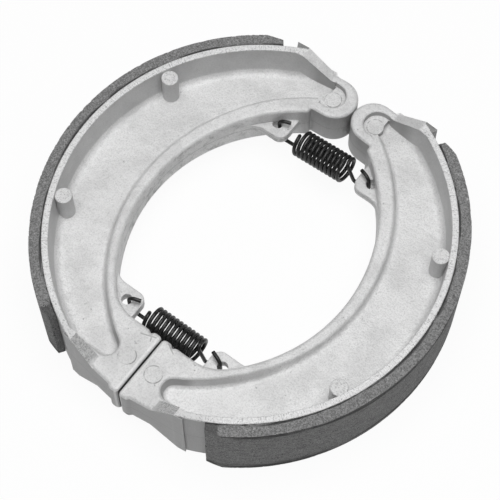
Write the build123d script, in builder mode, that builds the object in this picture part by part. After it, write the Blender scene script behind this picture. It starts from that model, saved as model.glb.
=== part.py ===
# Drum brake shoe set: two die-cast shoes with bonded linings, drawn together by two springs.
# +Y points to the anchor ends, -Y to the cam ends, +X to the right shoe, and +Z is the drum's axis.
# The origin is on the drum's axis, at the side that the set lies on.
import os
from math import acos, asin, atan2, cos, degrees, hypot, pi, radians, sin, sqrt, tan

from build123d import *

# Drum, lining and the closed pair
drum_d = 160.0
lining_t = 4.2
lining_inset = 0.3  # each edge of the lining lies this far inside the table's
bond_t = 0.1
release = 4.55  # each shoe's own arc centre lies this far past the drum's axis while the set is closed
closed_gap = 0.3  # left between the cam pads, and between the anchor ends
lining_anchor_deg = 59.3
lining_cam_deg = -61.5
lining_bevel_deg = 4.2
lining_end_t = 2.6

# Table: the full-width rim that carries the lining
table_w = 33.0
table_t = 2.4
table_draft_deg = 3.8
table_root_r = 3.0
table_round_r = 0.4
anchor_shoulder_deg = 63.2
anchor_step = 2.3
cam_shoulder_deg = -67.1
cam_step = 0.7

# Web, inner flange and pocket
web_t = 6.0
shoe_depth = 29.65  # table's outer face to inner flange, at mid-length
flange_off_y = -1.0
flange_h = 12.0  # at its lowest, near mid-length
flange_dip_l = 91.5  # length of the dipped stretch
dip_blend_r = 50.0
flange_foot_w = 5.0
pocket_off_y = 0.4
pocket_drop = 1.7  # from the recess's middle down to the pocket's corner
pocket_end_w = 5.1
pocket_draft_deg = 12.0
pocket_end_r = 3.0
pocket_root_r = 1.6
pocket_rim_r = 1.1
bead_r = 1.4  # rounds the flange's inner edge, and goes on round both ends

# Anchor end: a round end that turns in its seat
block_h = 17.0  # height of both ends of the shoe
end_r = 8.5
end_drop = 12.9  # table's outer radius less the round end's distance along Y
neck_off = 4.25  # neck's corner beside the round end's middle
neck_drop = 0.3  # neck's corner below the round end
neck_rise = 2.0  # from the flange's end up to the neck's corner
neck_in_r = 0.6
recess_r = 5.2
recess_off = (1.6, 0.2)
recess_depth = 2.8
recess_round_r = 0.8
platform_w = 2.0
anchor_wall_t = 3.7
anchor_wall_in = 6.0
anchor_ramp_x = (25.8, 14.0)
gate_l = 4.8
gate_t = 0.8
gate_side_deg = 55.0

# Cam end: a block with a flat pad
pad_l = 25.2
pad_inset = 1.5  # pad's outer corner lies this far inside the table's outer radius
nose_l = 3.4
nose_t = 1.1
cam_block_l = 11.0  # pad face to the pocket's floor
cam_wall_t = 2.9
cam_floor_t = 5.2
cam_ramp_x = (22.0, 13.0)
corner_margin = 0.25  # outward corners are this much rounder in plan than the bead round them
notch_root_r = 0.5
pad_blend_r = 16.0  # pad block into the flange

# Tall ejector pegs beside the table, and flush ejector marks
peg_d = 6.2
peg_deg = 25.2
peg_inset = 5.3
peg_short = 1.4
peg_round_r = 0.4
mark_d = 6.3
mark_t = 0.15

# Spring ears
ear_t = 4.0
ear_x = 15.3
ear_margin = 4.8  # spring hole to the ear's long edge
ear_corner_r = 3.5
ear_root_r = 7.0
ear_round_r = 0.5
hole_x = 20.9
hole_d = 4.0
anchor_hole_y = 44.4
cam_coil_gap = 0.125  # between the cam spring's coil and the pads' inner ends

# Springs
wire_d = 1.35
coil_od = 10.75
coil_turns = 12
coil_pitch = 1.76
hook_lead = 2.2  # the coil's end runs on this far before it drops
hook_drop_run = 2.9
hook_bend_r = 1.5
hook_eye_r = 2.2
hook_tip_l = 4.6  # from the wire in the hole to its tip
hook_tip_rise = 1.6
hook_clear = 0.3  # wire to the ear's hole and faces

# Derived places
mid_z = table_w / 2
lining_w = table_w - 2 * lining_inset
arc_x = -release
seat_r = drum_d / 2 - lining_t - bond_t
pad_x = closed_gap / 2
pad_out_y = pad_inset - seat_r
pad_in_y = pad_out_y + pad_l
cam_hole_y = pad_in_y + cam_coil_gap + coil_od / 2
end_x = pad_x + end_r
end_y = seat_r - end_drop
neck_x = end_x + neck_off
neck_y = end_y - end_r - neck_drop
plan_r = bead_r + corner_margin
web_top = mid_z + web_t / 2
block_top = mid_z + block_h / 2
flange_top = mid_z + flange_h / 2
flange_x = arc_x + seat_r - shoe_depth
flange_run = flange_x - neck_x
flange_r = (flange_run**2 + (neck_y - neck_rise - flange_off_y) ** 2) / (2 * flange_run)
flange_cx = flange_x - flange_r
pocket_x = flange_x + flange_foot_w
pocket_rim_x = pocket_x - (flange_top - web_top) * tan(radians(pocket_draft_deg))
recess_x = end_x + recess_off[0]
recess_y = end_y + recess_off[1]
platform_x = recess_x + platform_w
platform_z = block_top - recess_depth
hole_r = hole_d / 2
wire_r = wire_d / 2
coil_r = coil_od / 2 - wire_r
coil_l = coil_turns * coil_pitch
over = 5.0  # how far cutting shapes run past what they cut


def on_arc(radius, angle):
    """Point at a radius and an angle about the shoe's own arc centre."""
    return (arc_x + radius * cos(radians(angle)), radius * sin(radians(angle)))


def arc_cross_x(radius, center_x, center_y, y):
    """Right-hand x at which a circle crosses a y."""
    return center_x + sqrt(radius**2 - (y - center_y) ** 2)


def end_tangent(point, side):
    """Where a line from a point touches the round end, on its upper (1) or lower (-1) side."""
    run = (point[0] - end_x, point[1] - end_y)
    turn = atan2(run[1], run[0]) + side * acos(end_r / hypot(*run))
    return (end_x + end_r * cos(turn), end_y + end_r * sin(turn))


def near(shapes, *points):
    """The vertices or edges nearest to each point."""
    return [shapes.sort_by_distance(point)[0] for point in points]


anchor_seat = on_arc(seat_r, anchor_shoulder_deg)
anchor_tip = on_arc(seat_r + anchor_step, anchor_shoulder_deg)
cam_seat = on_arc(seat_r, cam_shoulder_deg)
cam_tip = on_arc(seat_r + cam_step, cam_shoulder_deg)
end_top = end_tangent(anchor_tip, 1)
end_low = end_tangent((neck_x, neck_y), -1)
flange_anchor = (neck_x, neck_y - neck_rise)
block_in_y = pad_in_y - nose_t / 4
flange_cam = (arc_cross_x(flange_r, flange_cx, flange_off_y, block_in_y), block_in_y)
notch_lip = (pad_x + nose_l + 2 * nose_t, block_in_y)
notch_in = (pad_x + nose_l + nose_t, pad_in_y - nose_t)
notch_out = (pad_x + nose_l + nose_t, pad_out_y + nose_t)
anchor_wall = (anchor_tip[0] - anchor_wall_in, anchor_tip[1] - anchor_wall_t)
anchor_wall_slope = (recess_y + recess_r - anchor_wall[1]) / (anchor_wall[0] - recess_x)
cam_wall_y = cam_tip[1] + cam_wall_t
cam_floor_y = cam_tip[1] + cam_floor_t
cam_floor_deg = degrees(asin(cam_floor_y / seat_r))
floor_anchor = (platform_x, recess_y - pocket_drop)
floor_cam = (pad_x + cam_block_l, cam_floor_y + pocket_end_w)
wall_lean = tan(radians(table_draft_deg))
rim_r = seat_r - table_t
foot_r = rim_r - (table_w - web_top) * wall_lean
cam_mark = (pad_x + cam_block_l / 2, (pad_in_y + pad_out_y) / 2)
anchor_mark = (end_x + recess_off[0] / 2, end_y)
gate_turn = degrees(atan2(anchor_tip[1] - end_top[1], anchor_tip[0] - end_top[0]))
gate_at = (neck_x + gate_l / 2, end_top[1] + (neck_x + gate_l / 2 - end_top[0]) * tan(radians(gate_turn)))
dip_y = flange_dip_l / 2

# Plan of one shoe, the right one
with BuildSketch() as shoe_plan:
    with BuildLine() as shoe_edge:
        seat = CenterArc((arc_x, 0), seat_r, cam_shoulder_deg, anchor_shoulder_deg - cam_shoulder_deg)
        Polyline(anchor_seat, anchor_tip, end_top)
        ThreePointArc(end_top, (end_x - end_r, end_y), end_low)
        Line(end_low, (neck_x, neck_y))
        Line((neck_x, neck_y), flange_anchor)
        ThreePointArc(flange_anchor, (flange_x, flange_off_y), flange_cam)
        Polyline(
            flange_cam,
            notch_lip,
            notch_in,
            (pad_x + nose_l, pad_in_y),
            (pad_x, pad_in_y),
            (pad_x, pad_out_y),
            (pad_x + nose_l, pad_out_y),
            notch_out,
            cam_tip,
            cam_seat,
        )
    make_face()
    fillet(near(shoe_plan.vertices(), flange_cam), pad_blend_r)
    fillet(near(shoe_plan.vertices(), (neck_x, neck_y)), neck_in_r)
    fillet(near(shoe_plan.vertices(), (pad_x, pad_in_y), (pad_x, pad_out_y)), plan_r)
    fillet(near(shoe_plan.vertices(), (pad_x + nose_l, pad_in_y), (pad_x + nose_l, pad_out_y)), plan_r)
    fillet(near(shoe_plan.vertices(), flange_anchor, notch_lip), plan_r)
    fillet(near(shoe_plan.vertices(), notch_in, notch_out), notch_root_r)


# Bowl inside the table: drafted about the shoe's arc centre, and rounded where it meets the web
with BuildPart() as bowl:
    with BuildSketch(Plane.XZ) as bowl_profile:
        with BuildLine():
            Polyline(
                (arc_x, web_top),
                (arc_x + foot_r, web_top),
                (arc_x + rim_r + over * wall_lean, table_w + over),
                (arc_x, table_w + over),
                close=True,
            )
        make_face()
        fillet(near(bowl_profile.vertices(), (arc_x + foot_r, web_top)), table_root_r)
    revolve(axis=Axis((arc_x, 0, 0), (0, 0, 1)))

# The bowl stops short of the outer edge at both ends, which leaves a thicker wall there
with BuildSketch() as bowl_limit:
    with BuildLine():
        Polyline(
            (pad_x - over, cam_wall_y),
            (drum_d, cam_wall_y),
            (drum_d, anchor_wall[1] - (drum_d - anchor_wall[0]) * anchor_wall_slope),
            (recess_x, recess_y + recess_r),
            (pad_x - over, recess_y + recess_r),
            close=True,
        )
    make_face()

# Pocket between the table and the inner flange, drafted and rounded at its foot
with BuildPart() as pocket:
    with BuildSketch(Plane.XY.offset(web_top)) as pocket_floor:
        with BuildLine():
            ThreePointArc(floor_anchor, (pocket_x, pocket_off_y), floor_cam)
            floor_rim = CenterArc((arc_x, 0), seat_r, cam_floor_deg, anchor_shoulder_deg - cam_floor_deg)
            Polyline(floor_cam, (floor_cam[0], cam_floor_y), floor_rim @ 0)
            Polyline(floor_rim @ 1, (platform_x, seat_r), floor_anchor)
        make_face()
        fillet(near(pocket_floor.vertices(), floor_cam, (floor_cam[0], cam_floor_y)), pocket_end_r)
    extrude(amount=block_top - web_top, taper=-pocket_draft_deg)
    fillet(pocket.faces().sort_by(Axis.Z)[0].edges(), pocket_root_r)

# Room over the inner flange, whose top dips towards mid-length
with BuildPart() as flange_room:
    with BuildSketch(Plane.YZ) as dip_profile:
        with BuildLine():
            ThreePointArc((-dip_y, block_top), (0, flange_top), (dip_y, block_top))
            Polyline(
                (dip_y, block_top),
                (drum_d, block_top),
                (drum_d, table_w + over),
                (-drum_d, table_w + over),
                (-drum_d, block_top),
                (-dip_y, block_top),
            )
        make_face()
        fillet(near(dip_profile.vertices(), (dip_y, block_top), (-dip_y, block_top)), dip_blend_r)
    extrude(amount=drum_d)

# Everything cut away above the web: bowl, recess in the round end, and a ramp down to each end
with BuildPart() as upper_cut:
    add(pocket.part)
    add(flange_room.part)
    add(bowl.part, mode=Mode.INTERSECT)
    extrude(bowl_limit.sketch, amount=table_w + over, mode=Mode.INTERSECT)
    with BuildSketch(Plane.XY.offset(platform_z)):
        with Locations((recess_x, recess_y)):
            Circle(recess_r)
            Rectangle(platform_w, 2 * recess_r, align=(Align.MIN, Align.CENTER))
    extrude(amount=table_w)
    for ramp_x, ramp_run in ((cam_ramp_x, drum_d), (anchor_ramp_x, -drum_d)):
        ramp_lean = (ramp_x[0] - ramp_x[1]) / (table_w - block_top)
        with BuildSketch(Plane.XZ):
            with BuildLine():
                Polyline(
                    (ramp_x[1], block_top),
                    (ramp_x[0] + over * ramp_lean, table_w + over),
                    (pad_x - over, table_w + over),
                    (pad_x - over, block_top),
                    close=True,
                )
            make_face()
        extrude(amount=ramp_run)


# The shoe above its mid-plane, where the casting's dies part
with BuildPart() as upper_half:
    with BuildSketch(Plane.XY.offset(mid_z)):
        add(shoe_plan.sketch)
    extrude(amount=table_w - mid_z)
    add(upper_cut.part, mode=Mode.SUBTRACT)
    fillet(near(upper_half.edges(), (flange_x, flange_off_y, flange_top)), bead_r)
    fillet(near(upper_half.edges(), (pocket_rim_x, pocket_off_y, flange_top)), pocket_rim_r)
    fillet(near(upper_half.edges(), (arc_x + rim_r, 0, table_w), (arc_x + seat_r, 0, table_w)), table_round_r)
    fillet(near(upper_half.edges(), (recess_x - recess_r, recess_y, block_top)), recess_round_r)

with BuildPart() as right_shoe:
    add(upper_half.part)
    mirror(upper_half.part, about=Plane.XY.offset(mid_z))
    # Spring ears at the parting plane
    ear_plane = Plane.XY.offset(mid_z - ear_t / 2)
    for hole_y, side, root_y in ((anchor_hole_y, 1, flange_anchor[1]), (cam_hole_y, -1, pad_in_y - nose_t)):
        edge_y = hole_y - side * ear_margin
        foot_y = edge_y - side * ear_root_r
        corner = (arc_cross_x(flange_r, flange_cx, flange_off_y, edge_y), edge_y)
        foot = (arc_cross_x(flange_r, flange_cx, flange_off_y, foot_y), foot_y)
        with BuildPart() as ear_plate:
            with BuildSketch(ear_plane) as ear:
                with BuildLine():
                    Polyline(
                        (ear_x, root_y),
                        (ear_x, edge_y),
                        corner,
                        foot,
                        (foot[0] + flange_foot_w / 2, hole_y),
                        (hole_x + 2 * hole_r, root_y),
                        close=True,
                    )
                make_face()
                fillet(near(ear.vertices(), corner), ear_root_r)
                fillet(near(ear.vertices(), (ear_x, edge_y)), ear_corner_r)
            extrude(amount=ear_t)
            fillet(ear_plate.faces().filter_by(Axis.Z).edges(), ear_round_r)
        with BuildSketch(ear_plane):
            with Locations((hole_x, hole_y)):
                Circle(hole_r)
        extrude(amount=ear_t, mode=Mode.SUBTRACT)
    # Tall ejector pegs on both faces
    with BuildPart() as pegs:
        with BuildSketch(Plane.XY.offset(peg_short)):
            with Locations(on_arc(seat_r - peg_inset, peg_deg), on_arc(seat_r - peg_inset, -peg_deg)):
                Circle(peg_d / 2)
        extrude(amount=table_w - 2 * peg_short)
        fillet(pegs.faces().filter_by(Axis.Z).edges(), peg_round_r)
    # Flush ejector marks
    for mark_at, mark_z in ((cam_mark, block_top), (anchor_mark, platform_z)):
        with BuildSketch(Plane.XY.offset(2 * mid_z - mark_z - mark_t)):
            with Locations(mark_at):
                Circle(mark_d / 2)
        extrude(amount=2 * (mark_z + mark_t - mid_z))
    # Stub of the casting's gate on the outer face
    with BuildSketch(Plane.XY.offset(mid_z - block_h / 2)):
        with Locations(Location((gate_at[0], gate_at[1], 0), (0, 0, gate_turn))):
            Trapezoid(gate_l, 2 * gate_t, gate_side_deg)
    extrude(amount=block_h)

with BuildPart() as left_shoe:
    mirror(right_shoe.part, about=Plane.YZ)

# Linings, bevelled at both ends
with BuildPart() as right_lining:
    with BuildSketch(Plane.XY.offset(mid_z - lining_w / 2)):
        with BuildLine():
            inner = CenterArc((arc_x, 0), seat_r + bond_t, lining_cam_deg, lining_anchor_deg - lining_cam_deg)
            outer = CenterArc(
                (arc_x, 0),
                drum_d / 2,
                lining_cam_deg + lining_bevel_deg,
                lining_anchor_deg - lining_cam_deg - 2 * lining_bevel_deg,
            )
            Polyline(inner @ 0, on_arc(seat_r + bond_t + lining_end_t, lining_cam_deg), outer @ 0)
            Polyline(inner @ 1, on_arc(seat_r + bond_t + lining_end_t, lining_anchor_deg), outer @ 1)
        make_face()
    extrude(amount=lining_w)

with BuildPart() as left_lining:
    mirror(right_lining.part, about=Plane.YZ)

# Springs: a close coil along X. At each end the wire drops from the coil's top to a leg below the
# ear, comes up through the ear's hole and turns back over it.
hook_x = hole_x - hole_r + wire_r + hook_clear
tip_z = ear_t / 2 + hook_clear + wire_r


def spring_route(axis_y):
    """Centre line of a spring, from one hook's tip through the coil to the other's."""
    half = coil_l / 2
    lead_x = half + hook_lead * coil_pitch / (2 * pi * coil_r)
    with BuildLine(Plane((0, axis_y, mid_z), x_dir=(0, 0, 1), z_dir=(1, 0, 0))) as route:
        Helix(coil_pitch, coil_l, coil_r, center=(0, 0, -half), direction=(1, 0, 0))
        for side in (-1, 1):
            FilletPolyline(
                (coil_r, 0, side * half),
                (coil_r, side * hook_lead, side * lead_x),
                (-coil_r, 0, side * (half + hook_drop_run)),
                (-coil_r, 0, side * hook_x),
                (tip_z, 0, side * hook_x),
                (tip_z + hook_tip_rise, 0, side * (hook_x - hook_tip_l)),
                radius=[hook_bend_r, hook_bend_r, hook_eye_r, hook_eye_r],
            )
    return route.wire()


with BuildPart() as anchor_spring:
    anchor_route = spring_route(anchor_hole_y)
    with BuildSketch(Plane(origin=anchor_route @ 0, z_dir=anchor_route % 0)):
        Circle(wire_r)
    sweep(path=anchor_route)

with BuildPart() as cam_spring:
    cam_route = spring_route(cam_hole_y)
    with BuildSketch(Plane(origin=cam_route @ 0, z_dir=cam_route % 0)):
        Circle(wire_r)
    sweep(path=cam_route)

left_shoe.part.label = "left_shoe"
right_shoe.part.label = "right_shoe"
left_lining.part.label = "left_lining"
right_lining.part.label = "right_lining"
anchor_spring.part.label = "anchor_spring"
cam_spring.part.label = "cam_spring"

os.makedirs("parts", exist_ok=True)
for piece in (left_shoe, right_shoe, left_lining, right_lining, anchor_spring, cam_spring):
    export_step(piece.part, f"parts/{piece.part.label}.step")
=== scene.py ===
# %% [markdown]
# # A pair of drum brake shoes
# Two die-cast shoes with bonded friction linings lie closed on a white table, hooked together by two black
# springs. The castings come straight from the fixed frame and only get their finish here. The linings and the
# springs are made again, because crumbling edges and a coil that stretches are looks, not sizes.

# %% Load the fixed frame
import math
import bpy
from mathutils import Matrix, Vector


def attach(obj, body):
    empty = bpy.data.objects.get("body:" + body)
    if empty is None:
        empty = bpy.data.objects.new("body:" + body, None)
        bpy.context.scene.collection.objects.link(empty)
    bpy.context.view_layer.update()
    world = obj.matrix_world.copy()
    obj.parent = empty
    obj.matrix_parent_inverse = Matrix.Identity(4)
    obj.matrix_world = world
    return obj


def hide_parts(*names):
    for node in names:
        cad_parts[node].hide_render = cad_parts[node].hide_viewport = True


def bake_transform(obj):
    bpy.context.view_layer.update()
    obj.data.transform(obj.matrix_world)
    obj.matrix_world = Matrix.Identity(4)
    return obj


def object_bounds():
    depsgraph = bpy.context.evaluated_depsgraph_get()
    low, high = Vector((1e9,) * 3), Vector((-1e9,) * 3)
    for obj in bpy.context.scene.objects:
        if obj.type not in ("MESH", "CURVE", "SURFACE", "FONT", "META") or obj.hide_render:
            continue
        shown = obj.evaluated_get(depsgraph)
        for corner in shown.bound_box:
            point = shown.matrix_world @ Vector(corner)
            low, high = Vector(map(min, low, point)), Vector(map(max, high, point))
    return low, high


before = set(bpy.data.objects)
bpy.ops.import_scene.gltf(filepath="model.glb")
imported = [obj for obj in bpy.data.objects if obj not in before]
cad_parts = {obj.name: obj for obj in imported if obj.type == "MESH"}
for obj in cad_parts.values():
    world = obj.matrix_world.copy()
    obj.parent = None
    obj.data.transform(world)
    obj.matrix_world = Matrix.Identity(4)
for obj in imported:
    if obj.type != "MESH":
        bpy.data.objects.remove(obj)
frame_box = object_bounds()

from types import SimpleNamespace

import bmesh
import bpy
from mathutils import Matrix, Vector, noise

# %% [markdown]
# ## Sizes
# Meshes are in metres, in the frame's own axes: +Z is the drum's axis, +Y points to the round anchor ends and
# +X to the right shoe. Each shoe's arc has its own centre a little past the drum's axis, on the other side.
# Patterns in materials are easier to read in millimetres, so they count in those.

# %% Sizes that the pieces share
MM = 0.001
MID_Z = 16.5 * MM
ARC_X = -4.55 * MM  # centre of the right shoe's arc; the left one mirrors it
SEAT_R = 75.7 * MM
LINING_IN_R = 75.8 * MM
LINING_OUT_R = 80.0 * MM
LINING_T = LINING_OUT_R - LINING_IN_R
LINING_W = 32.4 * MM
LINING_FROM = math.radians(-61.5)
LINING_TO = math.radians(59.3)
LINING_SWEEP = LINING_TO - LINING_FROM
SIDES = {"left": -1, "right": 1}
MERGE = 0.01 * MM  # points nearer than this are one
print("lining's arc", round(LINING_SWEEP * LINING_OUT_R / MM, 1), "mm long")

# %% [markdown]
# ## Small helpers
# Node trees are built in one line a node: `add_node` sets a node's properties, and fills each input from a
# value or from another node's output. The others are the few moves that all three finishes repeat.


# %% Helpers for nodes
def add_node(tree, kind, inputs=None, **settings):
    """Add one node; inputs maps a socket's name or number to a value or to another socket."""
    made = tree.nodes.new(kind)
    for key, value in settings.items():
        setattr(made, key, value)
    for key, value in (inputs or {}).items():
        if isinstance(value, bpy.types.NodeSocket):
            tree.links.new(value, made.inputs[key])
        else:
            made.inputs[key].default_value = value
    return made


def calc(tree, operation, first, second=0.0, third=0.0, clamp=False):
    """Maths on values or sockets."""
    inputs = {0: first, 1: second, 2: third}
    return add_node(tree, "ShaderNodeMath", inputs, operation=operation, use_clamp=clamp).outputs[0]


def vector_calc(tree, operation, first, second=(0, 0, 0), scale=1.0):
    """Maths on vectors that gives a vector."""
    inputs = {0: first, 1: second, 3: scale}
    return add_node(tree, "ShaderNodeVectorMath", inputs, operation=operation).outputs[0]


def measure(tree, operation, first, second=(0, 0, 0)):
    """Maths on vectors that gives a number, such as a length."""
    inputs = {0: first, 1: second}
    return add_node(tree, "ShaderNodeVectorMath", inputs, operation=operation).outputs["Value"]


def speckle(tree, vector, scale, detail=2.0, rough=0.5):
    """Noise as a value from 0 to 1, with its scale in blobs per millimetre."""
    inputs = {"Vector": vector, "Scale": scale, "Detail": detail, "Roughness": rough}
    return add_node(tree, "ShaderNodeTexNoise", inputs, noise_dimensions="3D").outputs["Fac"]


# %% Helpers for masks
def fade(tree, value, low, high, to_low=0.0, to_high=1.0):
    """Spread a value from low..high over to_low..to_high, smoothly and clamped."""
    inputs = {"Value": value, "From Min": low, "From Max": high, "To Min": to_low, "To Max": to_high}
    return add_node(tree, "ShaderNodeMapRange", inputs, interpolation_type="SMOOTHSTEP").outputs[0]


def fade_out(tree, value, low, high):
    """One below low, and zero above high."""
    return fade(tree, value, low, high, 1.0, 0.0)


def product(tree, first, *others):
    """Several masks multiplied."""
    for other in others:
        first = calc(tree, "MULTIPLY", first, other)
    return first


def weighed(tree, *parts):
    """Several patterns added up, each times its own weight."""
    total = 0.0
    for pattern, weight in parts:
        total = calc(tree, "MULTIPLY_ADD", pattern, weight, total)
    return total


# %% Helpers for colours
def grey(value):
    """An opaque neutral colour."""
    return (value, value, value, 1.0)


def blend_colour(tree, amount, first, second):
    """Mix two colours by an amount."""
    made = add_node(tree, "ShaderNodeMix", data_type="RGBA", clamp_factor=True)
    for socket, value in (("Factor_Float", amount), ("A_Color", first), ("B_Color", second)):
        target = next(s for s in made.inputs if s.identifier == socket)
        if isinstance(value, bpy.types.NodeSocket):
            tree.links.new(value, target)
        else:
            target.default_value = value
    return next(s for s in made.outputs if s.identifier == "Result_Color")


def tint(tree, colour, mask, shade, amount=1.0):
    """Lay a grey over a colour where a mask is, by up to an amount."""
    return blend_colour(tree, calc(tree, "MULTIPLY", mask, amount), colour, grey(shade))


# %% Helpers for whole materials
def new_material(name):
    """A material with an empty tree, its output, and its pattern's coordinates in millimetres."""
    made = bpy.data.materials.new(name)
    made.use_nodes = True
    tree = made.node_tree
    tree.nodes.clear()
    output = add_node(tree, "ShaderNodeOutputMaterial")
    place = add_node(tree, "ShaderNodeTexCoord").outputs["Object"]
    return made, tree, output, vector_calc(tree, "SCALE", place, scale=1 / MM)


def close_tree(tree, output, inputs, relief=None):
    """End a tree in one shader, with an optional relief in millimetres."""
    if relief is not None:
        bump = add_node(tree, "ShaderNodeBump", {"Strength": 1.0, "Distance": MM, "Height": relief})
        inputs = {**inputs, "Normal": bump.outputs[0]}
    shader = add_node(tree, "ShaderNodeBsdfPrincipled", inputs)
    tree.links.new(shader.outputs[0], output.inputs["Surface"])


def arc_spot(tree, place, side):
    """Where a point is on a shoe, measured along and off its arc, and how the surface faces there."""
    centred = vector_calc(tree, "SUBTRACT", place, (side * ARC_X / MM, 0, 0))
    parts = add_node(tree, "ShaderNodeSeparateXYZ", {0: centred}).outputs
    angle = calc(tree, "ARCTAN2", parts[1], calc(tree, "MULTIPLY", parts[0], side))
    normal = add_node(tree, "ShaderNodeNewGeometry").outputs["Normal"]
    upwards = add_node(tree, "ShaderNodeSeparateXYZ", {0: normal}).outputs[2]
    return SimpleNamespace(
        place=place,
        side=side,
        along=calc(tree, "MULTIPLY", angle, SEAT_R / MM),
        radius=measure(tree, "LENGTH", vector_calc(tree, "MULTIPLY", centred, (1, 1, 0))),
        height=parts[2],
        off_mid=calc(tree, "ABSOLUTE", calc(tree, "SUBTRACT", parts[2], MID_Z / MM)),
        level=calc(tree, "ABSOLUTE", upwards),  # 1 where a face lies level, 0 where it stands upright
    )


# %% [markdown]
# ## Cast aluminium
# The castings were tumbled, which left a pale, fine-grained matte skin with soft mottling and a few dark pits.
# One painted colour would look like plastic, so the skin is three noises of different sizes, laid over each
# other, and the same noises raise a slight relief.


# %% Skin of the castings
def cast_skin(tree, spot):
    """The skin's colour, with the patterns that its relief needs."""
    clouds = speckle(tree, spot.place, 0.09, 4.0, 0.6)
    spot.peel = speckle(tree, spot.place, 0.5, 3.0)
    spot.grain = speckle(tree, spot.place, 1.7, 3.0, 0.75)
    spot.flakes = speckle(tree, spot.place, 1.6, 4.0, 0.8)
    spot.pits = fade(tree, speckle(tree, spot.place, 0.62, 4.0, 0.7), 0.66, 0.73)
    skin = blend_colour(tree, fade(tree, clouds, 0.33, 0.62), grey(0.755), grey(0.88))
    skin = tint(tree, skin, fade_out(tree, spot.grain, 0.32, 0.58), 0.38, 0.34)
    return tint(tree, skin, spot.pits, 0.16, 0.6)


# %% [markdown]
# Upright walls get painted shade: those from the pocket's outer wall outwards are painted darker than the rest,
# and the table's outer face and the ends darker still. The inner walls carry stains, and a thin line all round
# shows where the two dies met. The material tells a wall from a floor by the direction that its surface faces,
# so it needs no painting by hand.

# %% Walls of the castings
PAINTED_SHADE_WALLS = (54.0, 58.0)  # radius where the pocket's outer wall begins
TABLE_FACE = (75.2, 75.5)  # radius of the table's outer face
SHOE_ENDS = (88.0, 94.0)  # distance along the arc where the ends begin
BORE_WALLS = (48.0, 52.0)  # radius inside which the open centre's walls are


def mark_walls(tree, spot, skin):
    """Paint shade on the upright walls, and draw their stains and the line of the dies."""
    upright = fade_out(tree, spot.level, 0.2, 0.5)
    # painted shade on the upright walls from the pocket's outer wall outwards
    skin = tint(tree, skin, product(tree, upright, fade(tree, spot.radius, *PAINTED_SHADE_WALLS)), 0.47, 0.5)
    at_ends = fade(tree, calc(tree, "ABSOLUTE", spot.along), *SHOE_ENDS)
    outside = calc(tree, "MAXIMUM", at_ends, fade(tree, spot.radius, *TABLE_FACE))
    # deeper painted shade on the upright walls of the table's outer face and the ends
    skin = tint(tree, skin, product(tree, upright, outside), 0.3, 0.55)
    stains = fade(tree, speckle(tree, spot.place, 0.3, 4.0, 0.7), 0.48, 0.7)
    skin = tint(tree, skin, product(tree, stains, upright, fade_out(tree, spot.radius, *BORE_WALLS)), 0.12, 0.45)
    spot.parting = product(tree, fade_out(tree, spot.off_mid, 0.08, 0.3), upright)
    return tint(tree, skin, spot.parting, 0.3, 0.5)


# %% [markdown]
# Round marks of the pins that pushed the casting out show as broken outlines. A few thin lines on the pads are
# flash, which is metal that crept between parts of the die. The crack between the two cam pads gets painted
# shade, and the pads' own edges get a painted highlight. All of these are a hair deep, so colour alone shows
# them, with masks that measure the distance to a circle, a line or the plane between the pads.

# %% Marks of the die
MARK_R = 3.15
CAM_MARK = (5.65, -61.6)
ANCHOR_MARK = (9.45, 62.8)
BLOCK_TOP = (5.0, 5.4)  # off the mid-plane, where the ends' flat tops begin
CAM_PADS = (-60.0, -50.0)  # distance along the arc, up to which the crack's painted shade and the edges' painted highlight reach
FLASH_LINES = {  # from and to, on the left shoe and on the right one
    -1: (((-7.1, -52.4), (-1.8, -50.6)), ((-3.2, -51.6), (-2.7, -52.8))),
    1: (((2.9, -49.8), (6.4, -51.8)),),
}


def line_mask(tree, place, start, end):
    """One along a thin straight line seen from above, and zero elsewhere."""
    start, run = Vector((*start, 0)), Vector((end[0] - start[0], end[1] - start[1], 0))
    offset = vector_calc(tree, "MULTIPLY", vector_calc(tree, "SUBTRACT", place, start), (1, 1, 0))
    reach = measure(tree, "DOT_PRODUCT", offset, run / run.length_squared)
    share = calc(tree, "MULTIPLY", reach, 1.0, clamp=True)
    foot = vector_calc(tree, "SCALE", run, scale=share)
    return fade_out(tree, measure(tree, "DISTANCE", offset, foot), 0.1, 0.35)


def mark_outline(tree, spot, centre):
    """One where a round mark's thin outline runs, and zero elsewhere."""
    shifted = vector_calc(tree, "SUBTRACT", spot.place, (spot.side * centre[0], centre[1], 0))
    reach = measure(tree, "LENGTH", vector_calc(tree, "MULTIPLY", shifted, (1, 1, 0)))
    return fade_out(tree, calc(tree, "ABSOLUTE", calc(tree, "SUBTRACT", reach, MARK_R)), 0.08, 0.3)


def mark_ends(tree, spot, skin):
    """Draw the round marks and the flash, paint shade into the crack between the pads, and paint highlights on the
    pads' edges.
    """
    on_block = fade(tree, spot.off_mid, *BLOCK_TOP)
    outlines = [mark_outline(tree, spot, centre) for centre in (CAM_MARK, ANCHOR_MARK)]
    broken = fade(tree, spot.peel, 0.4, 0.6, 0.05, 0.6)
    skin = tint(tree, skin, product(tree, calc(tree, "MAXIMUM", *outlines), on_block, broken), 0.18)
    for start, end in FLASH_LINES[spot.side]:
        skin = tint(tree, skin, product(tree, line_mask(tree, spot.place, start, end), on_block), 0.15, 0.45)
    sideways = calc(tree, "ABSOLUTE", add_node(tree, "ShaderNodeSeparateXYZ", {0: spot.place}).outputs[0])
    at_pads = fade_out(tree, spot.along, *CAM_PADS)
    # painted shade in the crack between the two cam pads
    skin = tint(tree, skin, product(tree, fade_out(tree, sideways, 0.2, 0.5), at_pads), 0.03, 0.9)
    # painted highlight along the pads' edges beside the crack
    painted_edge_highlight = product(tree, fade(tree, sideways, 0.6, 0.9), fade_out(tree, sideways, 1.3, 1.8), at_pads)
    return tint(tree, skin, painted_edge_highlight, 0.97, 0.6)
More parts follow.
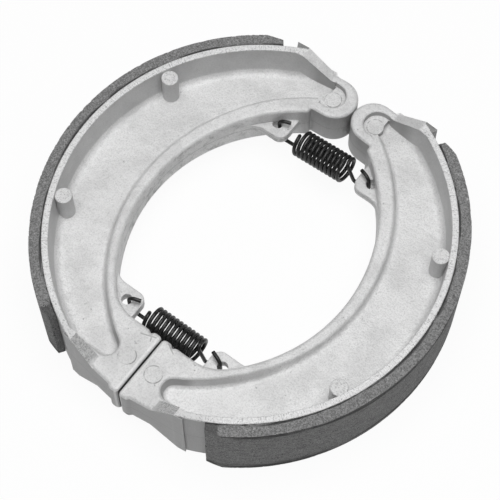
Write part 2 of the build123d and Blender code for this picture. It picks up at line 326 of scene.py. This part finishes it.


# %% [markdown]
# The edges of the table were ground flat, so they are the brightest part, with fine marks across. That pattern
# follows the arc, so it is a noise stretched on the arc's own coordinates. Painted glints are scattered over the
# edges, a few more near the cam end. Grinding also tore the ramps near the cam end, and shearing tore the tops of
# the tall pegs.

# %% Ground and torn places
RIM = (15.9, 16.3)  # off the mid-plane, where the table's edges begin
TICKS = (2.0, 0.12)  # blobs per millimetre, along the rim and across it
CAM_SIDE = (-86.0, -72.0)  # distance along the arc, up to which the cam end's tearing reaches
PEG_TOP_FROM, PEG_TOP_TO = (14.8, 15.0), (15.2, 15.3)
RIM_DUST = (76.45, 76.65)  # radius past which the lining's dust covers the rim


def ground_rim(tree, spot, near_cam):
    """The colour of the ground edges, with painted glints."""
    stretched = {0: calc(tree, "MULTIPLY", spot.along, TICKS[0]), 1: calc(tree, "MULTIPLY", spot.radius, TICKS[1])}
    ticks = speckle(tree, add_node(tree, "ShaderNodeCombineXYZ", stretched).outputs[0], 1.0, 3.0, 0.7)
    bright = tint(tree, grey(0.86), fade_out(tree, ticks, 0.4, 0.47), 0.42, 0.65)
    # painted glints: bright flecks, a few more near the cam end
    painted_glints = calc(tree, "MULTIPLY_ADD", near_cam, 0.08, spot.flakes)
    bright = tint(tree, bright, fade(tree, painted_glints, 0.5, 0.57), 0.98)
    bright = tint(tree, bright, fade_out(tree, spot.flakes, 0.35, 0.42), 0.28, 0.7)
    ragged = fade(tree, calc(tree, "MULTIPLY_ADD", spot.flakes, 2.0, spot.radius), *RIM_DUST)
    return tint(tree, bright, product(tree, ragged, fade(tree, spot.level, 0.9, 0.97)), 0.2, 0.85)


def grind_and_tear(tree, spot, skin):
    """Lay the ground edges, the torn ramps and the sheared pegs over the skin."""
    near_cam = fade_out(tree, spot.along, *CAM_SIDE)
    ground = fade(tree, spot.off_mid, *RIM)
    colour = blend_colour(tree, ground, skin, ground_rim(tree, spot, near_cam))
    peg_top = product(tree, fade(tree, spot.off_mid, *PEG_TOP_FROM), fade_out(tree, spot.off_mid, *PEG_TOP_TO))
    peg_top = product(tree, peg_top, fade(tree, spot.level, 0.8, 0.95))
    sheared = blend_colour(tree, fade(tree, spot.flakes, 0.38, 0.52), grey(0.55), grey(0.97))
    colour = blend_colour(tree, calc(tree, "MULTIPLY", peg_top, 0.8), colour, sheared)
    slanted = product(tree, fade(tree, spot.level, 0.5, 0.65), fade_out(tree, spot.level, 0.9, 0.97))
    ramp = product(tree, slanted, fade(tree, spot.off_mid, 9.0, 10.0), near_cam)
    ragged = blend_colour(tree, fade(tree, spot.flakes, 0.35, 0.6), grey(0.38), grey(0.78))
    colour = blend_colour(tree, ramp, colour, ragged)
    rim_torn = product(tree, ground, calc(tree, "MULTIPLY_ADD", near_cam, 0.6, 0.3))
    torn = calc(tree, "MAXIMUM", calc(tree, "MAXIMUM", ramp, rim_torn), calc(tree, "MULTIPLY", peg_top, 0.7))
    spot.torn = product(tree, torn, spot.flakes)
    return colour


# %% Finish of the castings
def cast_aluminium(name, side):
    """The whole finish of one casting, whose patterns follow its own arc."""
    made, tree, output, place = new_material(name)
    spot = arc_spot(tree, place, side)
    skin = mark_ends(tree, spot, mark_walls(tree, spot, cast_skin(tree, spot)))
    colour = grind_and_tear(tree, spot, skin)
    relief = weighed(
        tree, (spot.peel, 0.34), (spot.grain, 0.28), (spot.pits, -0.1), (spot.parting, 0.08), (spot.torn, 0.45)
    )
    rough = fade(tree, spot.grain, 0.3, 0.7, 0.4, 0.55)
    close_tree(tree, output, {"Base Color": colour, "Metallic": 0.25, "Roughness": rough}, relief)
    return made


for side_name, side in SIDES.items():
    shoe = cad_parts[side_name + "_shoe"]
    finish = cast_aluminium("cast_aluminium_" + side_name, side)
    for slot in shoe.material_slots:
        slot.material = finish
    print(shoe.name, "nodes in its finish", len(finish.node_tree.nodes))

# %% [markdown]
# ## Friction linings
# A lining is a pressed block of resin, fibre and metal dust, cut to an arc and glued on. Its outer face was
# ground along the arc, which left scratches and a paler grey, and its cut edges stayed dark and crumbly. The
# finish is a fine noise for the dust, the same noise drawn out along the arc for the scratches, and a noise that
# only breaks through near an edge for the painted shade of the crevices and of the joint with the table.

# %% Places on the linings
OUTER_FACE = (77.9, 78.3)  # radius past which an upright face is the outer one
BY_TABLE = (76.0, 77.3)
RAW_END = (-75.6, -75.0)  # distance along the arc, up to which the cam end was never ground
STRETCH = 0.1  # scratches are ten times as long as wide


# %% Finish of the linings
def friction_lining(name, side):
    """Speckled compound with scratches, painted shade in crevices near its edges, and dark fresh breaks."""
    made, tree, output, place = new_material(name)
    spot = arc_spot(tree, place, side)
    level = fade(tree, spot.level, 0.5, 0.8)
    outer = product(tree, fade(tree, spot.radius, *OUTER_FACE), fade_out(tree, level, 0.0, 1.0))
    dust = speckle(tree, place, 2.0, 4.0, 0.8)
    stretched = {0: calc(tree, "MULTIPLY", spot.along, STRETCH), 1: spot.radius, 2: spot.height}
    streak_place = add_node(tree, "ShaderNodeCombineXYZ", stretched).outputs[0]
    scratches = speckle(tree, streak_place, 1.5, 3.0, 0.7)
    edge_colour = blend_colour(tree, fade(tree, dust, 0.36, 0.64), grey(0.12), grey(0.36))
    face_colour = blend_colour(tree, fade(tree, dust, 0.36, 0.62), grey(0.15), grey(0.5))
    colour = blend_colour(tree, outer, edge_colour, face_colour)
    colour = tint(tree, colour, product(tree, outer, fade(tree, scratches, 0.5, 0.62)), 0.06, 0.5)
    colour = tint(tree, colour, fade(tree, speckle(tree, place, 0.8, 3.0, 0.6), 0.62, 0.72), 0.55, 0.8)
    colour = tint(tree, colour, fade(tree, speckle(tree, place, 1.2, 3.0, 0.7), 0.6, 0.68), 0.03, 0.7)
    raw_end = fade_out(tree, calc(tree, "MULTIPLY_ADD", dust, 3.0, spot.along), *RAW_END)
    colour = tint(tree, colour, product(tree, raw_end, level), 0.05, 0.7)
    # painted shade: dark crevices run along just under the outer corner, and along the joint with the table
    by_corner = product(tree, outer, fade(tree, spot.off_mid, 11.0, 14.5))
    by_table = product(tree, fade_out(tree, spot.radius, *BY_TABLE), fade(tree, spot.off_mid, 15.0, 16.0))
    near_edge = calc(tree, "MAXIMUM", by_corner, by_table)
    streaks = speckle(tree, streak_place, 0.45, 4.0, 0.6)
    broken = weighed(tree, (streaks, 1.0), (near_edge, 0.16), (dust, 0.5))
    shaded_crevices = product(tree, fade(tree, broken, 0.86, 0.93), near_edge)
    colour = tint(tree, colour, shaded_crevices, 0.02, 0.85)
    chipped = add_node(tree, "ShaderNodeAttribute", attribute_name="chipped").outputs["Fac"]
    colour = tint(tree, colour, fade(tree, chipped, 0.2, 0.7), 0.03, 0.7)
    relief = weighed(tree, (dust, 0.26), (scratches, 0.15), (shaded_crevices, -0.3))
    close_tree(tree, output, {"Base Color": colour, "Roughness": 0.8}, relief)
    return made


# %% [markdown]
# The shape starts as a fine grid, spun about the arc's centre, which gives even squares all over. Both ends are
# then thinned to their bevel, and points near an edge move inwards by a noise, as chips would leave them. A
# bevel would round the edges evenly, and relief in the material alone would leave a clean outline. How deep each
# point went is kept as an attribute, so that the finish can darken the breaks.

# %% Block of a lining
GRID = 0.5 * MM


def lining_block():
    """One lining as pressed and cut, with square edges, on an even grid."""
    bm = bmesh.new()
    bmesh.ops.create_grid(bm, x_segments=round(LINING_T / GRID), y_segments=round(LINING_W / GRID), size=0.5)
    bmesh.ops.scale(bm, vec=(LINING_T, LINING_W, 1), verts=bm.verts)
    bmesh.ops.rotate(bm, matrix=Matrix.Rotation(math.pi / 2, 3, "X"), verts=bm.verts)
    bmesh.ops.translate(bm, vec=(LINING_IN_R + LINING_T / 2, 0, MID_Z), verts=bm.verts)
    bmesh.ops.rotate(bm, matrix=Matrix.Rotation(LINING_FROM, 3, "Z"), verts=bm.verts)
    rim = [edge for edge in bm.edges if edge.is_boundary]
    far_end = bmesh.ops.duplicate(bm, geom=bm.verts[:] + bm.edges[:] + bm.faces[:])["geom"]
    far_verts = [part for part in far_end if isinstance(part, bmesh.types.BMVert)]
    bmesh.ops.rotate(bm, matrix=Matrix.Rotation(LINING_SWEEP, 3, "Z"), verts=far_verts)
    steps = round(LINING_SWEEP * LINING_OUT_R / GRID)
    bmesh.ops.spin(bm, geom=rim, axis=(0, 0, 1), cent=(0, 0, 0), angle=LINING_SWEEP, steps=steps)
    bmesh.ops.remove_doubles(bm, verts=bm.verts, dist=MERGE)
    bmesh.ops.recalc_face_normals(bm, faces=bm.faces)
    return bm


block = lining_block()
print("points in a lining", len(block.verts))

# %% Chips
BEVEL_ANGLE = math.radians(4.2)
LINING_END_T = 2.6 * MM
CHIP_REACH = 1.3 * MM
CHIP_DEPTH = 0.8 * MM
END_REACH = 3.5 * MM
END_SHARE = 0.4  # both ends have lost this much more
LOWER_SHARE = 0.35  # the side that the set lies on is chipped less
BONDED_SHARE = 0.4  # so are the edges that the glue holds
SIDE_PULL = 0.6  # share of a chip's depth that it also takes off the faces and the ends
BITE = (7 * MM, 1.6 * MM, 1.6 * MM)  # a long bite's size along, outwards and up
SMALL_BITE, FINE_BITE = 1.1 * MM, 0.55 * MM
BITE_MIX = (0.65, 0.45, 0.35)  # shares of the long, small and fine bites
BITE_FLOOR = 0.06  # bites weaker than this leave no chip
GRAIN_SHARE = 0.06  # fine roughness that is there without a chip too
CHIP_SEED = 5  # keeps the two linings' chips apart


def chip_at(along, radius, height, seed):
    """How deep a chip bites near an edge at some place, from 0 to 1: long bites, broken up by grain."""
    long_bites = noise.noise(Vector((along / BITE[0], radius / BITE[1], height / BITE[2] + seed)))
    small = noise.noise(Vector((along, radius, height)) / SMALL_BITE)
    fine = noise.noise(Vector((along, radius, height)) / FINE_BITE)
    bite = BITE_MIX[0] * long_bites - BITE_FLOOR + BITE_MIX[1] * small + BITE_MIX[2] * fine
    return max(0.0, min(1.0, bite)) + GRAIN_SHARE * max(0.0, small + fine)


def crumble(place, angle, radius, top_r, side):
    """How far a point moves inwards near an edge, and how deep its chip is."""
    height = place.z - MID_Z
    to_end = min(angle - LINING_FROM, LINING_TO - angle) * radius
    gaps = (min(radius - LINING_IN_R, top_r - radius), LINING_W / 2 - abs(height), to_end)
    # only near an edge, where two faces meet, is the second smallest gap small
    nearness = max(0.0, 1.0 - sorted(gaps)[1] / CHIP_REACH)
    if nearness == 0:
        return Vector(), 0.0
    outward = Vector((math.cos(angle), math.sin(angle), 0))
    middle = (LINING_IN_R + top_r) / 2
    inwards = outward * (middle - radius) / LINING_T - Vector((0, 0, math.copysign(SIDE_PULL, height)))
    if to_end < CHIP_REACH:
        inwards += Vector((-outward.y, outward.x, 0)) * math.copysign(SIDE_PULL, -angle)
    by_end = max(0.0, 1.0 - to_end / END_REACH)
    chip = nearness * (chip_at(angle * radius, radius, height, side * CHIP_SEED) + END_SHARE * by_end)
    if height < 0:
        chip *= LOWER_SHARE
    if radius - LINING_IN_R < top_r - radius:
        chip *= BONDED_SHARE
    return inwards * chip * CHIP_DEPTH, chip


# %% Both linings
def put_on_side(bm, side):
    """Move a piece that was made about its arc's own centre to its place on one of the shoes."""
    bmesh.ops.translate(bm, vec=(ARC_X, 0, 0), verts=bm.verts)
    if side < 0:
        bmesh.ops.scale(bm, vec=(-1, 1, 1), verts=bm.verts)
        bmesh.ops.reverse_faces(bm, faces=bm.faces)


def add_piece(bm, name, finish, sharp_deg=None):
    """Turn a bmesh into a smooth-shaded object that sits at the origin."""
    mesh = bpy.data.meshes.new(name)
    bm.to_mesh(mesh)
    bm.free()
    mesh.shade_smooth()
    if sharp_deg is not None:
        mesh.set_sharp_from_angle(angle=math.radians(sharp_deg))
    mesh.materials.append(finish)
    piece = bpy.data.objects.new(name, mesh)
    bpy.context.collection.objects.link(piece)
    print(name, "faces", len(mesh.polygons))
    return piece


def make_lining(block, side_name, side):
    """Bevel and chip a copy of the block, and put it on its shoe."""
    bm = block.copy()
    depth_layer = bm.verts.layers.float.new("chipped")
    for vert in bm.verts:
        angle = math.atan2(vert.co.y, vert.co.x)
        to_end = min(angle - LINING_FROM, LINING_TO - angle)
        bevel = max(0.0, 1.0 - to_end / BEVEL_ANGLE)
        top_r = LINING_OUT_R - bevel * (LINING_T - LINING_END_T)
        share = (vert.co.xy.length - LINING_IN_R) / LINING_T
        radius = LINING_IN_R + share * (top_r - LINING_IN_R)
        place = Vector((math.cos(angle) * radius, math.sin(angle) * radius, vert.co.z))
        move, vert[depth_layer] = crumble(place, angle, radius, top_r, side)
        vert.co = place + move
    put_on_side(bm, side)
    finish = friction_lining("friction_lining_" + side_name, side)
    piece = add_piece(bm, side_name + "_friction_lining", finish, 40)
    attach(piece, side_name + "_half")
    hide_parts(side_name + "_lining")


for side_name, side in SIDES.items():
    make_lining(block, side_name, side)
block.free()

# %% [markdown]
# The glue between a lining and its table is a thin dark film, and a little of it is squeezed out along both
# edges. A dark line in the materials would do from above, but not from low down. So the film is a flat sheet
# spun round the arc, and each squeezed-out bead a small ring spun the same way, which swells and thins by a
# noise.

# %% Glue line
BEAD_R = 0.24 * MM
BEAD_SIDES = 8
BEAD_INSET = 0.1 * MM  # from the lining's face to the bead's middle
FILM_T = 0.06 * MM
GLUE_STEPS = 220
LEAST_SWELL, MEAN_SWELL, SWELL_RANGE = 0.05, 0.2, 2.2
SWELLS_PER_RADIAN = 26
SWELL_SEED = 3  # keeps the two sides' beads apart
NEAR_BEAD = 1.1  # a bead's points lie within this many of its radii


def glue_finish(name):
    """Dark resin with crumbs in it."""
    made, tree, output, place = new_material(name)
    crumbs = speckle(tree, place, 1.5, 3.0)
    colour = blend_colour(tree, fade(tree, crumbs, 0.35, 0.65), grey(0.008), grey(0.06))
    rough = fade(tree, crumbs, 0.3, 0.7, 0.4, 0.75)
    close_tree(tree, output, {"Base Color": colour, "Roughness": rough})
    return made


def make_glue(side_name, side):
    """The film under a lining, with a bead along each of its edges."""
    bm = bmesh.new()
    bead_z = {face: MID_Z + face * (LINING_W / 2 - BEAD_INSET) for face in (1, -1)}
    for middle_z in bead_z.values():
        loop = bmesh.ops.create_circle(bm, segments=BEAD_SIDES, radius=BEAD_R, cap_ends=True)["verts"]
        bmesh.ops.rotate(bm, matrix=Matrix.Rotation(math.pi / 2, 3, "X"), verts=loop)
        bmesh.ops.translate(bm, vec=(LINING_IN_R, 0, middle_z), verts=loop)
    film = bmesh.ops.create_grid(bm, x_segments=1, y_segments=1, size=0.5)["verts"]
    bmesh.ops.scale(bm, vec=(FILM_T, LINING_W - 2 * BEAD_INSET, 1), verts=film)
    bmesh.ops.rotate(bm, matrix=Matrix.Rotation(math.pi / 2, 3, "X"), verts=film)
    bmesh.ops.translate(bm, vec=((SEAT_R + LINING_IN_R) / 2, 0, MID_Z), verts=film)
    bmesh.ops.rotate(bm, matrix=Matrix.Rotation(LINING_FROM, 3, "Z"), verts=bm.verts)
    geom = bm.verts[:] + bm.edges[:] + bm.faces[:]
    bmesh.ops.spin(bm, geom=geom, axis=(0, 0, 1), cent=(0, 0, 0), angle=LINING_SWEEP, steps=GLUE_STEPS)
    for vert in bm.verts:
        face = math.copysign(1, vert.co.z - MID_Z)
        angle = math.atan2(vert.co.y, vert.co.x)
        middle = Vector((LINING_IN_R * math.cos(angle), LINING_IN_R * math.sin(angle), bead_z[face]))
        if (vert.co - middle).length < NEAR_BEAD * BEAD_R:
            wave = noise.noise(Vector((angle * SWELLS_PER_RADIAN, side * SWELL_SEED, face)))
            swell = max(LEAST_SWELL, MEAN_SWELL + SWELL_RANGE * wave)
            vert.co = middle + (vert.co - middle) * swell
    put_on_side(bm, side)
    bmesh.ops.recalc_face_normals(bm, faces=bm.faces)
    name = side_name + "_glue_line"
    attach(add_piece(bm, name, glue_finish(name)), side_name + "_half")


for side_name, side in SIDES.items():
    make_glue(side_name, side)

# %% [markdown]
# ## Springs
# A spring is bent from one length of wire. A bevelled curve would be quick, but the same moves as on the bench
# make a cleaner mesh. A ring of points is the wire's cut end. Spinning it about the spring's axis with a small
# step along it winds the coil, and further spins and straight feeds bend the hook. Each half is wound from the
# coil's middle outwards, and the first is turned half round before the second is wound. They are wound one by
# one because both hooks lean towards the anchor ends, so one half turned round isn't the other.

# %% Sizes of the springs
WIRE_R = 0.71 * MM
WIRE_SIDES = 16
COIL_R = 4.7 * MM
COIL_TURNS = 12
COIL_PITCH = 1.76 * MM
END_PITCH = 1.6 * MM  # the last stretch at each end lies a little closer
END_TURNS = 0.5
END_BACK = math.radians(20)  # the coil stops this far short of its top
STEPS_PER_TURN = 40
LEAD = 2.2 * MM  # the coil's end runs on this far before it drops
DROP_RUN = 2.9 * MM
BEND_R = 1.5 * MM
BEND_STEPS = 10
EYE_R = 2.2 * MM
HOOK_X = 19.875 * MM
HOOK_TOP = 5.1 * MM
HOOK_TIP = 4.2 * MM
TIP_DROP = 0.5 * MM
TIP_LEAN = 1.6 * MM  # both tips lean towards the anchor ends
SPRINGS = {  # place along Y, and how far the spring tilts from its left hook up to its right one
    "anchor": (44.4 * MM, math.radians(4.7)),
    "cam": (-43.5 * MM, 0.0),
}


# %% Finish of the springs
def black_wire(name):
    """Satin black coating with faint scuffs."""
    made, tree, output, place = new_material(name)
    scuffs = speckle(tree, place, 0.9, 3.0, 0.6)
    colour = blend_colour(tree, fade(tree, scuffs, 0.4, 0.75), grey(0.014), grey(0.055))
    rough = fade(tree, scuffs, 0.3, 0.8, 0.3, 0.5)
    inputs = {"Base Color": colour, "Metallic": 0.2, "Roughness": rough}
    close_tree(tree, output, inputs, weighed(tree, (scuffs, 0.03)))
    return made


# %% Wire bending
def only_edges(geom):
    """The edges among what an operator returned."""
    return [part for part in geom if isinstance(part, bmesh.types.BMEdge)]


def feed(bm, ring, run):
    """Push the wire's end straight on."""
    grown = bmesh.ops.extrude_edge_only(bm, edges=ring)["geom"]
    verts = [part for part in grown if isinstance(part, bmesh.types.BMVert)]
    bmesh.ops.translate(bm, vec=run, verts=verts)
    return only_edges(grown)


def bend(bm, ring, centre, axis, angle, steps, climb=(0, 0, 0)):
    """Turn the wire's end about an axis, with an optional climb at each step."""
    spun = bmesh.ops.spin(bm, geom=ring, cent=centre, axis=axis, angle=angle, steps=steps, dvec=climb)
    return only_edges(spun["geom_last"])


def follow(bm, ring, corners, radii):
    """Bend the wire along corners, each with its own bend radius, and run out to the last one."""
    place = corners[0]
    for corner, after, radius in zip(corners[1:-1], corners[2:], radii):
        heading = (corner - place).normalized()
        turned = (after - corner).normalized()
        turn = heading.angle(turned)
        setback = radius * math.tan(turn / 2)
        start = corner - heading * setback
        ring = feed(bm, ring, start - place)
        axis = heading.cross(turned).normalized()
        ring = bend(bm, ring, start + axis.cross(heading) * radius, axis, turn, BEND_STEPS)
        place = corner + turned * setback
    return feed(bm, ring, corners[-1] - place)


# %% Half a spring
CLOSE_TURNS = COIL_TURNS / 2 - END_TURNS
LAST_TURNS = END_TURNS - END_BACK / (2 * math.pi)
HALF_COIL = CLOSE_TURNS * COIL_PITCH + LAST_TURNS * END_PITCH
print("coil", round(2 * HALF_COIL / MM, 2), "mm long")


def wind_half(bm, centre, tip_lean, hook_top):
    """Wind the coil from its middle to the right, and bend the hook on that end."""
    lean = COIL_PITCH / (2 * math.pi * COIL_R)
    heading = Vector((lean, -1, 0)).normalized()
    across = heading.cross(Vector((0, 0, 1)))
    turn = Matrix((across, Vector((0, 0, 1)), -heading)).transposed()
    circle = bmesh.ops.create_circle(bm, segments=WIRE_SIDES, radius=WIRE_R, cap_ends=False)["verts"]
    bmesh.ops.rotate(bm, matrix=turn, verts=circle)
    bmesh.ops.translate(bm, vec=centre + Vector((0, 0, COIL_R)), verts=circle)
    ring = list({edge for vert in circle for edge in vert.link_edges})
    for turns, pitch in ((CLOSE_TURNS, COIL_PITCH), (LAST_TURNS, END_PITCH)):
        steps = round(turns * STEPS_PER_TURN)
        climb = (turns * pitch / steps, 0, 0)
        ring = bend(bm, ring, centre, (1, 0, 0), turns * 2 * math.pi, steps, climb)
    coil_end = Vector((HALF_COIL, COIL_R * math.sin(END_BACK), COIL_R * math.cos(END_BACK)))
    leaving = Vector((lean, -math.cos(END_BACK), math.sin(END_BACK)))
    route = [
        coil_end,
        coil_end + LEAD * leaving,
        Vector((HALF_COIL + DROP_RUN, 0, -COIL_R)),
        Vector((HOOK_X, 0, -COIL_R)),
        Vector((HOOK_X, 0, hook_top)),
        Vector((HOOK_X - HOOK_TIP, tip_lean, hook_top - TIP_DROP)),
    ]
    ring = follow(bm, ring, [centre + step for step in route], (BEND_R, BEND_R, EYE_R, EYE_R))
    bmesh.ops.contextual_create(bm, geom=ring)


# %% Both springs
def make_spring(spring_name, axis_y, tilt, finish):
    """Wind both halves, and tilt the spring into its place between the two shoes."""
    bm = bmesh.new()
    centre = Vector((0, axis_y, MID_Z))
    rise = HOOK_X * math.sin(tilt)  # a tilted spring's lower hook reaches up further, and its upper one less
    wind_half(bm, centre, -TIP_LEAN, HOOK_TOP + rise)
    bmesh.ops.rotate(bm, cent=centre, matrix=Matrix.Rotation(math.pi, 3, "Z"), verts=bm.verts)
    wind_half(bm, centre, TIP_LEAN, HOOK_TOP - rise)
    bmesh.ops.rotate(bm, cent=centre, matrix=Matrix.Rotation(-tilt, 3, "Y"), verts=bm.verts)
    bmesh.ops.remove_doubles(bm, verts=bm.verts, dist=MERGE)
    bmesh.ops.recalc_face_normals(bm, faces=bm.faces)
    print(spring_name, "spring, open edges", sum(1 for edge in bm.edges if not edge.is_manifold))
    piece = add_piece(bm, spring_name + "_return_spring", finish, 50)
    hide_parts(spring_name + "_spring")
    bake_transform(piece)


wire_finish = black_wire("black_wire")
for spring_name, (axis_y, tilt) in SPRINGS.items():
    make_spring(spring_name, axis_y, tilt, wire_finish)

# %% [markdown]
# ## Table, light and camera
# The background is plain white. The floor is white paper that also glows a little for the camera, so it stays
# white while it still takes a soft shadow. For every other ray it is a middle grey, so that it doesn't light
# the walls from below.

# %% Floor
FLOOR_HALF = 3.0
FLOOR_GAP = 0.02 * MM
GLOW_SHARE = 0.94


def white_paper():
    """Paper that looks white, to the eye and in reflections, but lights its surroundings less."""
    made, tree, output, place = new_material("white_paper")
    rays = add_node(tree, "ShaderNodeLightPath").outputs
    seen = calc(tree, "MAXIMUM", rays["Is Camera Ray"], rays["Is Glossy Ray"])
    seen = calc(tree, "MAXIMUM", seen, rays["Is Transmission Ray"])
    paper = add_node(tree, "ShaderNodeBsdfDiffuse", {"Color": blend_colour(tree, seen, grey(0.55), grey(1.0))})
    glow = add_node(tree, "ShaderNodeEmission", {"Color": grey(1.0), "Strength": 1.0})
    share = calc(tree, "MULTIPLY", seen, GLOW_SHARE)
    mixed = add_node(tree, "ShaderNodeMixShader", {0: share, 1: paper.outputs[0], 2: glow.outputs[0]})
    tree.links.new(mixed.outputs[0], output.inputs["Surface"])
    return made


bm = bmesh.new()
bmesh.ops.create_grid(bm, x_segments=1, y_segments=1, size=FLOOR_HALF)
floor = add_piece(bm, "floor", white_paper())
floor.location.z = frame_box[0][2] - FLOOR_GAP

# %% [markdown]
# One large round lamp hangs almost overhead and lights the tops. What comes round from the sides is much
# weaker, which leaves upright walls a middle grey and the groove beside the flange in a soft shade. Lamps from
# the sides would fill those in and flatten the casting.

# %% Lamp and world
LAMP_PLACE = (0.03, -0.02, 0.62)
LAMP_SIZE = 0.5
LAMP_POWER = 2.9
WORLD_STRENGTH = 0.16

lamp = bpy.data.lights.new("overhead", "AREA")
lamp.shape = "DISK"
lamp.size = LAMP_SIZE
lamp.energy = LAMP_POWER
overhead = bpy.data.objects.new("overhead", lamp)
overhead.location = LAMP_PLACE
overhead.rotation_euler = (-Vector(LAMP_PLACE)).to_track_quat("-Z", "Y").to_euler()
bpy.context.collection.objects.link(overhead)
world = bpy.data.worlds.new("studio")
world.use_nodes = True
backdrop = world.node_tree.nodes["Background"]
backdrop.inputs["Color"].default_value = grey(1.0)
backdrop.inputs["Strength"].default_value = WORLD_STRENGTH
bpy.context.scene.world = world
print("lamp", LAMP_POWER, "W, world", WORLD_STRENGTH)

# %% [markdown]
# The camera's place and lens are worked out from the circles and edges in the photograph: it looks down steeply
# over the cam end, from the right.

# %% Camera
CAMERA_TURN = math.radians(36.859)
CAMERA_RISE = math.radians(64.503)
CAMERA_ROLL = math.radians(0.162)
CAMERA_RANGE = 564.67 * MM
CAMERA_AIM = Vector((0.811, -1.337, 15.0)) * MM
SENSOR = 36.0
CLIP_FROM = 10 * MM
FOCAL_PIXELS, PICTURE_PIXELS = 1592.34, 500

camera_data = bpy.data.cameras.new("camera")
camera_data.lens = SENSOR * FOCAL_PIXELS / PICTURE_PIXELS
camera_data.sensor_width = SENSOR
camera_data.clip_start = CLIP_FROM
camera = bpy.data.objects.new("camera", camera_data)
away = Vector((math.sin(CAMERA_TURN), -math.cos(CAMERA_TURN), 0)) * math.cos(CAMERA_RISE)
away.z = math.sin(CAMERA_RISE)
right = Vector((math.cos(CAMERA_TURN), math.sin(CAMERA_TURN), 0))
up = away.cross(right)
axes = Matrix((right, up, away)).transposed() @ Matrix.Rotation(CAMERA_ROLL, 3, "Z")
camera.matrix_world = Matrix.Translation(CAMERA_AIM + away * CAMERA_RANGE) @ axes.to_4x4()
bpy.context.collection.objects.link(camera)
bpy.context.scene.camera = camera
bpy.context.scene.view_settings.view_transform = "Standard"
print("lens", round(camera_data.lens, 1), "mm")
